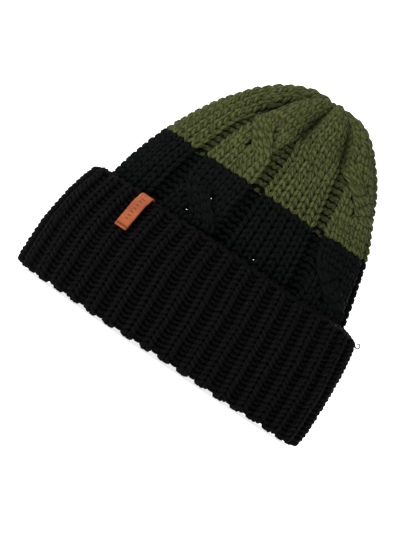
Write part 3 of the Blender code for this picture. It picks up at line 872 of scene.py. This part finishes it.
def makeWoolGroup():
    # plied, heathered wool: UV runs in centimetres along the yarn and once round it
    tree, start, end = newGroup("woolYarn", [("Along", "Vector"), ("Place", "Vector")],
                                [("Height", "Float"), ("PlyShade", "Float"), ("Shade", "Float"),
                                 ("Fleck", "Float"), ("FleckTint", "Color")])
    split = addNode(tree, "SeparateXYZ", {0: start.outputs["Along"]})
    u, v = split.outputs[0], split.outputs[1]
    turned = math2(tree, "MULTIPLY_ADD", u, twist["turns"], math2(tree, "MULTIPLY", v, twist["plies"]))
    ply = math2(tree, "ABSOLUTE", math2(tree, "SINE", math2(tree, "MULTIPLY", turned, math.pi)))
    angle = math2(tree, "MULTIPLY", math2(tree, "DIVIDE", turned, twist["plies"]), 2 * math.pi)
    round1 = addNode(tree, "CombineXYZ", {0: math2(tree, "COSINE", angle), 1: math2(tree, "SINE", angle),
                                          2: math2(tree, "MULTIPLY", u, 0.9)}).outputs[0]
    fibre = addNode(tree, "TexNoise", {"Vector": round1, "Scale": twist["fibreScale"], "Detail": 4.0,
                                       "Roughness": 0.65}).outputs["Fac"]
    place = start.outputs["Place"]
    speckle = addNode(tree, "TexNoise", {"Vector": place, "Scale": 1100.0, "Detail": 2.0}).outputs["Fac"]
    patch = addNode(tree, "TexNoise", {"Vector": place, "Scale": 160.0, "Detail": 2.0}).outputs["Fac"]
    cell = addNode(tree, "TexVoronoi", {"Vector": place, "Scale": 750.0})
    tint = addNode(tree, "SeparateColor", {0: cell.outputs["Color"]})
    chosen = math2(tree, "GREATER_THAN", tint.outputs[0], 0.98)
    small = math2(tree, "LESS_THAN", cell.outputs["Distance"], 0.32)
    fleck = math2(tree, "MULTIPLY", chosen, small)
    hue = addNode(tree, "ValToRGB", {0: tint.outputs[1]})
    hue.color_ramp.interpolation = "CONSTANT"
    for spot, colour in fleckColours:
        dot = hue.color_ramp.elements.new(spot)
        dot.color = (*colour, 1)
    shade = math2(tree, "MULTIPLY_ADD", fibre, 0.45, math2(tree, "MULTIPLY", speckle, 0.35))
    shade = math2(tree, "MULTIPLY_ADD", patch, 0.20, shade)
    height = math2(tree, "MULTIPLY_ADD", fibre, 0.35, math2(tree, "MULTIPLY", ply, 0.65))
    tree.links.new(height, end.inputs["Height"])
    # one minus the ply height marks the creases between plies, used as a mask for painted shade
    tree.links.new(math2(tree, "SUBTRACT", 1.0, ply), end.inputs["PlyShade"])
    tree.links.new(shade, end.inputs["Shade"])
    tree.links.new(fleck, end.inputs["Fleck"])
    tree.links.new(hue.outputs[0], end.inputs["FleckTint"])
    return tree


woolGroup = makeWoolGroup()


def woolMaterial(name, dark, light, shadeColour, fleckAmount, sheen, sheenTint, cavityShade=0.92):
    mat = bpy.data.materials.new(name)
    mat.use_nodes = True
    tree = mat.node_tree
    shader = tree.nodes["Principled BSDF"]
    uv = addNode(tree, "UVMap", uv_map="UVMap").outputs[0]
    place = addNode(tree, "TexCoord").outputs["Object"]
    wool = addNode(tree, "Group", {}, node_tree=woolGroup)
    tree.links.new(uv, wool.inputs["Along"])
    tree.links.new(place, wool.inputs["Place"])
    ramp = addNode(tree, "ValToRGB", {0: wool.outputs["Shade"]})
    ramp.color_ramp.elements[0].position, ramp.color_ramp.elements[1].position = 0.32, 0.68
    ramp.color_ramp.elements[0].color, ramp.color_ramp.elements[1].color = (*dark, 1), (*light, 1)
    # painted shade: the creases between plies and the hidden parts of each stitch are mixed towards a dark
    # shade colour
    paintedShadeMix = math2(tree, "MULTIPLY", math2(tree, "POWER", wool.outputs["PlyShade"], 1.6), 0.9)
    litShare = addNode(tree, "Attribute", attribute_name="litShare").outputs["Fac"]
    cavityShadeMask = math2(tree, "POWER", math2(tree, "SUBTRACT", 1.0, litShare), 0.7)
    paintedShadeMix = math2(tree, "MAXIMUM", paintedShadeMix, math2(tree, "MULTIPLY", cavityShadeMask, cavityShade))
    body = addNode(tree, "Mix", {0: paintedShadeMix, 6: ramp.outputs[0], 7: (*shadeColour, 1)}, data_type="RGBA")
    fleck = math2(tree, "MULTIPLY", wool.outputs["Fleck"], fleckAmount)
    body = addNode(tree, "Mix", {0: fleck, 6: body.outputs[2], 7: wool.outputs["FleckTint"]},
                   data_type="RGBA")
    tree.links.new(body.outputs[2], shader.inputs["Base Color"])
    rough = addNode(tree, "MapRange", {0: wool.outputs["Shade"], 3: 0.95, 4: 0.78})
    tree.links.new(rough.outputs[0], shader.inputs["Roughness"])
    bump = addNode(tree, "Bump", {"Strength": 0.9, "Distance": 0.6 * mm, "Height": wool.outputs["Height"]})
    tree.links.new(bump.outputs[0], shader.inputs["Normal"])
    shader.inputs["Specular IOR Level"].default_value = 0.05
    shader.inputs["Sheen Weight"].default_value = sheen
    shader.inputs["Sheen Roughness"].default_value = 0.6
    shader.inputs["Sheen Tint"].default_value = (*sheenTint, 1)
    return mat


# each wool: dark and light tones, then the colour of its painted shade, flecks, sheen and sheen tint
oliveWool = woolMaterial("oliveWool", (0.016, 0.021, 0.006), (0.108, 0.122, 0.039), (0.002, 0.003, 0.001),
                         0.45, 0.04, (0.6, 0.65, 0.4))
blackWool = woolMaterial("blackWool", (0.0013, 0.0016, 0.0016), (0.0053, 0.0061, 0.0060),
                         (0.0008, 0.0009, 0.0009), 0.05, 0.0, (0.5, 0.5, 0.5))
ribWool = woolMaterial("ribWool", (0.0014, 0.0015, 0.0014), (0.0056, 0.0060, 0.0056),
                       (0.0008, 0.0009, 0.0008), 0.05, 0.0, (0.5, 0.5, 0.5))
brownThread = woolMaterial("brownThread", (0.12, 0.035, 0.012), (0.24, 0.075, 0.025), (0.05, 0.014, 0.005),
                           0.0, 0.05, (0.6, 0.4, 0.3))


# plain pressed bars down the strip: how many to a centimetre, their share of it, half length, and ends
bars = {"perCm": 3.4, "half": 0.16, "reach": 0.13, "start": 0.72, "end": 2.70, "depth": 1.2}


def leatherMaterial():
    mat = bpy.data.materials.new("tanLeather")
    mat.use_nodes = True
    tree = mat.node_tree
    shader = tree.nodes["Principled BSDF"]
    place = addNode(tree, "TexCoord").outputs["Object"]
    uv = addNode(tree, "SeparateXYZ", {0: addNode(tree, "UVMap", uv_map="UVMap").outputs[0]})
    across, along = uv.outputs[0], uv.outputs[1]
    grain = addNode(tree, "TexVoronoi", {"Vector": place, "Scale": 1500.0, "Randomness": 1.0})
    pores = addNode(tree, "TexNoise", {"Vector": place, "Scale": 2600.0, "Detail": 3.0})
    cloud = addNode(tree, "TexNoise", {"Vector": place, "Scale": 180.0, "Detail": 3.0})
    ramp = addNode(tree, "ValToRGB", {0: cloud.outputs["Fac"]})
    ramp.color_ramp.elements[0].position, ramp.color_ramp.elements[1].position = 0.3, 0.7
    ramp.color_ramp.elements[0].color = (0.225, 0.052, 0.017, 1)
    ramp.color_ramp.elements[1].color = (0.33, 0.084, 0.027, 1)
    # worn, darker cut edges, and a row of plain pressed bars down the strip
    rim = addNode(tree, "MapRange", {0: math2(tree, "ABSOLUTE", across), 1: 0.44, 2: 0.53, 3: 0.0, 4: 0.75})
    rimmed = addNode(tree, "Mix", {0: rim.outputs[0], 6: ramp.outputs[0], 7: (0.13, 0.035, 0.015, 1)},
                     data_type="RGBA")
    cycle = math2(tree, "FRACT", math2(tree, "MULTIPLY", along, bars["perCm"]))
    bar = math2(tree, "ABSOLUTE", math2(tree, "SUBTRACT", cycle, 0.5))
    bar = math2(tree, "LESS_THAN", bar, bars["half"])
    inside = math2(tree, "LESS_THAN", math2(tree, "ABSOLUTE", across), bars["reach"])
    lower = math2(tree, "GREATER_THAN", along, bars["start"])
    upper = math2(tree, "LESS_THAN", along, bars["end"])
    pressed = math2(tree, "MULTIPLY", math2(tree, "MULTIPLY", bar, inside),
                    math2(tree, "MULTIPLY", lower, upper))
    dark = math2(tree, "MULTIPLY", pressed, 0.95)
    marked = addNode(tree, "Mix", {0: dark, 6: rimmed.outputs[2], 7: (0.11, 0.030, 0.013, 1)},
                     data_type="RGBA")
    tree.links.new(marked.outputs[2], shader.inputs["Base Color"])
    height = math2(tree, "MULTIPLY_ADD", grain.outputs["Distance"], 0.3,
                   math2(tree, "MULTIPLY", pores.outputs["Fac"], 0.3))
    height = math2(tree, "SUBTRACT", height, math2(tree, "MULTIPLY", pressed, bars["depth"]))
    bump = addNode(tree, "Bump", {"Strength": 0.6, "Distance": 0.2 * mm, "Height": height})
    tree.links.new(bump.outputs[0], shader.inputs["Normal"])
    rough = addNode(tree, "MapRange", {0: pores.outputs["Fac"], 3: 0.45, 4: 0.62})
    tree.links.new(rough.outputs[0], shader.inputs["Roughness"])
    shader.inputs["Specular IOR Level"].default_value = 0.12
    return mat


tanLeather = leatherMaterial()
print("materials made")

pieces = [
    (bodyKnit, blackWool, ["black_body"]), (crownLow, oliveWool, ["olive_crown"]),
    (crownHigh, oliveWool, []), (crownGather, oliveWool, ["crown_gather"]),
    (gatherThread, oliveWool, ["gather_thread"]), (gatherKnot, oliveWool, ["gather_knot"]),
    (crownSeam, oliveWool, ["crown_seam"]), (bodySeam, blackWool, ["body_seam"]),
    (brimSeam, ribWool, ["brim_seam"]), (cuffSeam, ribWool, ["cuff_seam"]),
    (cuffHigh, ribWool, ["outer_cuff"]), (cuffLow, ribWool, []), (hemKnit, ribWool, ["hem_fold"]),
    (brimLow, ribWool, ["inner_brim"]), (brimHigh, ribWool, []), (edgeChain, ribWool, ["cuff_edge"]),
    (leatherStrap, tanLeather, ["leather_label"]), (yarnLoop, ribWool, ["yarn_loop"]),
]
pieces += [(oliveFuzz, oliveWool, []), (topFuzz, oliveWool, []), (bodyFuzz, blackWool, []),
           (cuffFuzzHigh, ribWool, []), (cuffFuzzLow, ribWool, []), (hemFuzz, ribWool, [])]
pieces += [(stitch, brownThread, ["label_stitch_%d" % (i + 1)]) for i, stitch in enumerate(labelStitches)]
for obj, mat, nodes in pieces:
    obj.data.materials.clear()
    obj.data.materials.append(mat)
    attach(obj, "root")
    if nodes:
        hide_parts(*nodes)
    print(obj.name, "triangles", sum(len(f.vertices) - 2 for f in obj.data.polygons))
